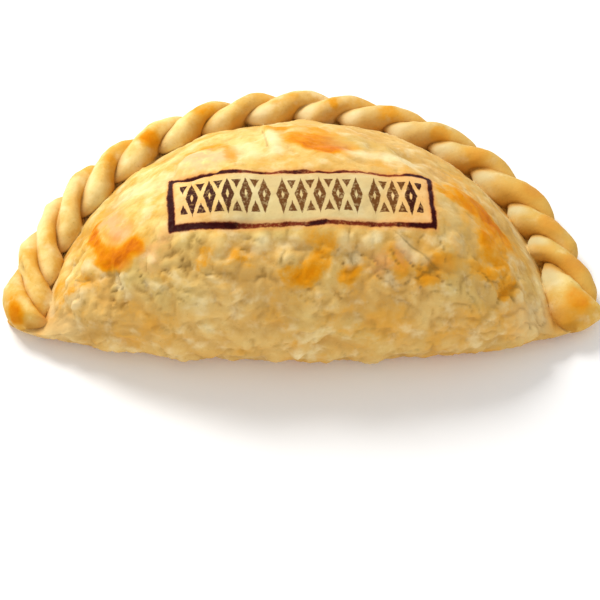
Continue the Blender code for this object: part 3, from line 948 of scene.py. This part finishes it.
def burntStamp(tree, where, wobble):
    # Burnt in with a hot iron: brown marks, and a maroon line that is charred black in its core
    s = stamp
    wearScale, *wearFade = s["wear"]
    worn = addNode(tree, "Math", (wobble, wearScale, where["pores"]), operation="MULTIPLY_ADD")
    worn = addNode(tree, "MapRange", (worn, *wearFade), interpolation_type="SMOOTHSTEP")

    # Its line is wider where the iron was hottest, and thinner and thicker by the crumb
    ends = addNode(tree, "Math", (where["leftEnd"], where["rightEnd"]), operation="MAXIMUM")
    charred = addNode(tree, "Math", (ends, where["blot"]), operation="MAXIMUM")
    lowLeft = addNode(tree, "Math", (where["leftPart"], where["lowPart"]), operation="MULTIPLY")
    thick = addNode(tree, "Math", (charred, s["charredWider"], s["line"]), operation="MULTIPLY_ADD")
    thick = addNode(tree, "Math", (lowLeft, s["lowLeftWider"], thick), operation="MULTIPLY_ADD")
    away = addNode(tree, "Math", (wobble, s["ragged"], where["stampEdgeAway"]), operation="MULTIPLY_ADD")
    away = addNode(tree, "Math", (away, thick), operation="SUBTRACT")
    line = addNode(tree, "MapRange", (away, *s["lineEdge"]), interpolation_type="SMOOTHSTEP")
    lineCore = addNode(tree, "MapRange", (away, *s["coreEdge"]), interpolation_type="SMOOTHSTEP")
    wear = addNode(tree, "Math", (worn, s["lineWear"], 1.0 - s["lineWear"]), operation="MULTIPLY_ADD")
    line = addNode(tree, "Math", (line, wear), operation="MULTIPLY")

    # A row of plain upright lozenges, each with a slit, and small triangles between them
    tall = where["stampUpAway"]
    slant, half = s["lozenge"]
    aside = addNode(tree, "Math", (where["stampAcross"], 0.5 * s["period"]), operation="PINGPONG")
    lozenge = addNode(tree, "Math", (tall, slant, aside), operation="MULTIPLY_ADD")
    lozenge = addNode(tree, "Math", (lozenge, half), operation="SUBTRACT")
    lozenge = addNode(tree, "Math", (lozenge,), operation="ABSOLUTE")
    slant, half, height = s["wedge"]
    wedge = addNode(tree, "Math", (tall, -slant, 0.5 * s["period"] + half), operation="MULTIPLY_ADD")
    wedge = addNode(tree, "Math", (wedge, aside), operation="SUBTRACT")
    top = addNode(tree, "Math", (tall, height), operation="SUBTRACT")
    for limit in (top, where["gapWall"]):
        wedge = addNode(tree, "Math", (wedge, limit), operation="MAXIMUM")
    marks = addNode(tree, "Math", (lozenge, wedge), operation="MINIMUM")
    marks = addNode(tree, "Math", (wobble, s["ragged"], marks), operation="MULTIPLY_ADD")
    marks = addNode(tree, "MapRange", (marks, *s["markEdge"]), interpolation_type="SMOOTHSTEP")
    inRow = addNode(tree, "Math", (where["stampAcrossAway"], s["rowEnd"]), operation="LESS_THAN")
    wear = addNode(tree, "Math", (worn, s["markWear"], 1.0 - s["markWear"]), operation="MULTIPLY_ADD")
    for share in (inRow, wear):
        marks = addNode(tree, "Math", (marks, share), operation="MULTIPLY")
    return {"ends": ends, "charred": charred, "line": line, "lineCore": lineCore, "marks": marks}


def eggWashedCrust():
    # Wheat dough, rolled out, brushed with egg and baked: a thin satin glaze over a matt crumb,
    # with painted shade in its hollows, crevices, creases and notches, and painted highlights on its
    # tops.
    f = crustFinish
    material = bpy.data.materials.new("eggWashedCrust")
    material.use_nodes = True
    tree = material.node_tree
    tree.nodes.clear()

    place = addNode(tree, "TexCoord").outputs["Object"]
    where = {}
    for name in masks:
        where[name] = addNode(tree, "Attribute", attribute_name=name).outputs["Fac"]
    for name in ("stampAcross", "stampUp", "stampEdge", "crack"):
        where[name + "Away"] = addNode(tree, "Math", (where[name],), operation="ABSOLUTE")
    for name, (size, detail, rough) in f["patterns"].items():
        where[name] = addNode(tree, "TexNoise", {"Vector": place, "Scale": 1 / (size * metre),
                              "Detail": detail, "Roughness": rough})
    for name, (what, start, full) in f["fades"].items():
        where[name] = addNode(tree, "MapRange", (where[what], start, full),
                              interpolation_type="SMOOTHSTEP")
    wobble = addNode(tree, "Math", (where["ragged"], 0.5), operation="SUBTRACT")
    where.update(burntStamp(tree, where, wobble))

    brownness = where["brown"]
    for name, share in f["mottling"].items():
        shift = addNode(tree, "Math", (where[name], 0.5), operation="SUBTRACT")
        brownness = addNode(tree, "Math", (shift, share, brownness), operation="MULTIPLY_ADD")
    brownness = addNode(tree, "Math", (brownness, *f["goldLimit"]), operation="SMOOTH_MIN")
    spotted = addNode(tree, "Math", (where["spots"], f["toastSpots"], 1.0 - 0.5 * f["toastSpots"]),
                      operation="MULTIPLY_ADD")
    brownness = addNode(tree, "Math", (where["toast"], spotted, brownness), operation="MULTIPLY_ADD")
    where["plain"] = addNode(tree, "MapRange", (brownness, *f["plain"]), interpolation_type="SMOOTHSTEP")

    colour = addNode(tree, "ValToRGB", (brownness,))
    stops = colour.color_ramp.elements
    stops.remove(stops[1])
    for amount, code in f["browning"].items():
        stop = stops[0] if amount == 0 else stops.new(amount)
        stop.color = linear(code)
    for code, share, spots in f["layers"]:
        for name in spots:
            share = addNode(tree, "Math", (where[name], share), operation="MULTIPLY")
        colour = addNode(tree, "Mix", {0: share, 6: colour, 7: linear(f[code])},
                         data_type="RGBA").outputs[2]

    smoother, rougher = (f["roughness"] + shift for shift in f["roughnessRange"])
    roughness = addNode(tree, "MapRange", (where["spots"], 0.3, 0.7, smoother, rougher))
    bump = {}  # the fine one is passed on to the coarse one
    for name, strength, depth in (f["fineBump"], f["coarseBump"]):
        bump["Normal"] = addNode(tree, "Bump", {"Height": where[name], "Strength": strength,
                                 "Distance": depth * metre, **bump})
    shader = addNode(tree, "BsdfPrincipled", {"Base Color": colour, "Roughness": roughness,
                     "IOR": f["ior"], "Specular IOR Level": f["gloss"], **bump})
    addNode(tree, "OutputMaterial", (shader,))
    return material


empanada.data.materials.clear()
empanada.data.materials.append(eggWashedCrust())
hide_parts("empanada")
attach(empanada, "root")
print("material: egg-washed crust")

studio = {
    "floorHalf": 3.0,
    "floorDrop": 0.0002,
    "paper": "#fdfdfd",
    "paperRoughness": 0.9,
    "paperGloss": 0.1,
    # place, size, power and colour of each light
    "keyLight": ((-0.31, 0.41, 0.54), 0.30, 5.0, (1.0, 0.98, 0.95)),
    "fillLight": ((0.14, -0.52, 0.28), 0.45, 0.6, (1.0, 1.0, 1.0)),
    "worldStrength": 0.62,
    "elevation": 53.0,
    "distance": 0.3625,
    "aim": (-0.00063, -0.02254, 0.0),
    "lens": 85.0,
    "sensor": 36.0,
}


def whitePaper():
    # A roll of studio paper, pressed from pulp: flat white, without any shine
    material = bpy.data.materials.new("whitePaper")
    material.use_nodes = True
    tree = material.node_tree
    tree.nodes.clear()
    shader = addNode(tree, "BsdfPrincipled", {"Base Color": linear(studio["paper"]),
                     "Roughness": studio["paperRoughness"], "Specular IOR Level": studio["paperGloss"]})
    addNode(tree, "OutputMaterial", (shader,))
    return material


floorMesh = bpy.data.meshes.new("studioFloor")
wide = studio["floorHalf"]
floorMesh.from_pydata([(-wide, -wide, 0), (wide, -wide, 0), (wide, wide, 0), (-wide, wide, 0)],
                      [], [(0, 1, 2, 3)])
floorMesh.materials.append(whitePaper())
floor = bpy.data.objects.new("studioFloor", floorMesh)
floor.location.z = -studio["floorDrop"]
bpy.context.scene.collection.objects.link(floor)

for name in ("keyLight", "fillLight"):
    place, size, power, colour = studio[name]
    lamp = bpy.data.objects.new(name, bpy.data.lights.new(name, "AREA"))
    lamp.data.energy, lamp.data.size, lamp.data.color = power, size, colour
    lamp.location = place
    lamp.rotation_mode = "QUATERNION"
    lamp.rotation_quaternion = (-Vector(place)).to_track_quat("-Z", "Y")
    bpy.context.scene.collection.objects.link(lamp)

world = bpy.data.worlds.new("softbox")
world.use_nodes = True
sky = world.node_tree.nodes["Background"]
sky.inputs[0].default_value = (1.0, 1.0, 1.0, 1.0)
sky.inputs[1].default_value = studio["worldStrength"]
bpy.context.scene.world = world
bpy.context.scene.view_settings.view_transform = "Standard"

tilt = math.radians(studio["elevation"])
back = Vector((0.0, -math.cos(tilt), math.sin(tilt)))
camera = bpy.data.objects.new("camera", bpy.data.cameras.new("camera"))
camera.data.lens = studio["lens"]
camera.data.sensor_width = studio["sensor"]
camera.location = Vector(studio["aim"]) + back * studio["distance"]
camera.rotation_mode = "QUATERNION"
camera.rotation_quaternion = (-back).to_track_quat("-Z", "Y")
bpy.context.scene.collection.objects.link(camera)
bpy.context.scene.camera = camera
print("studio ready")
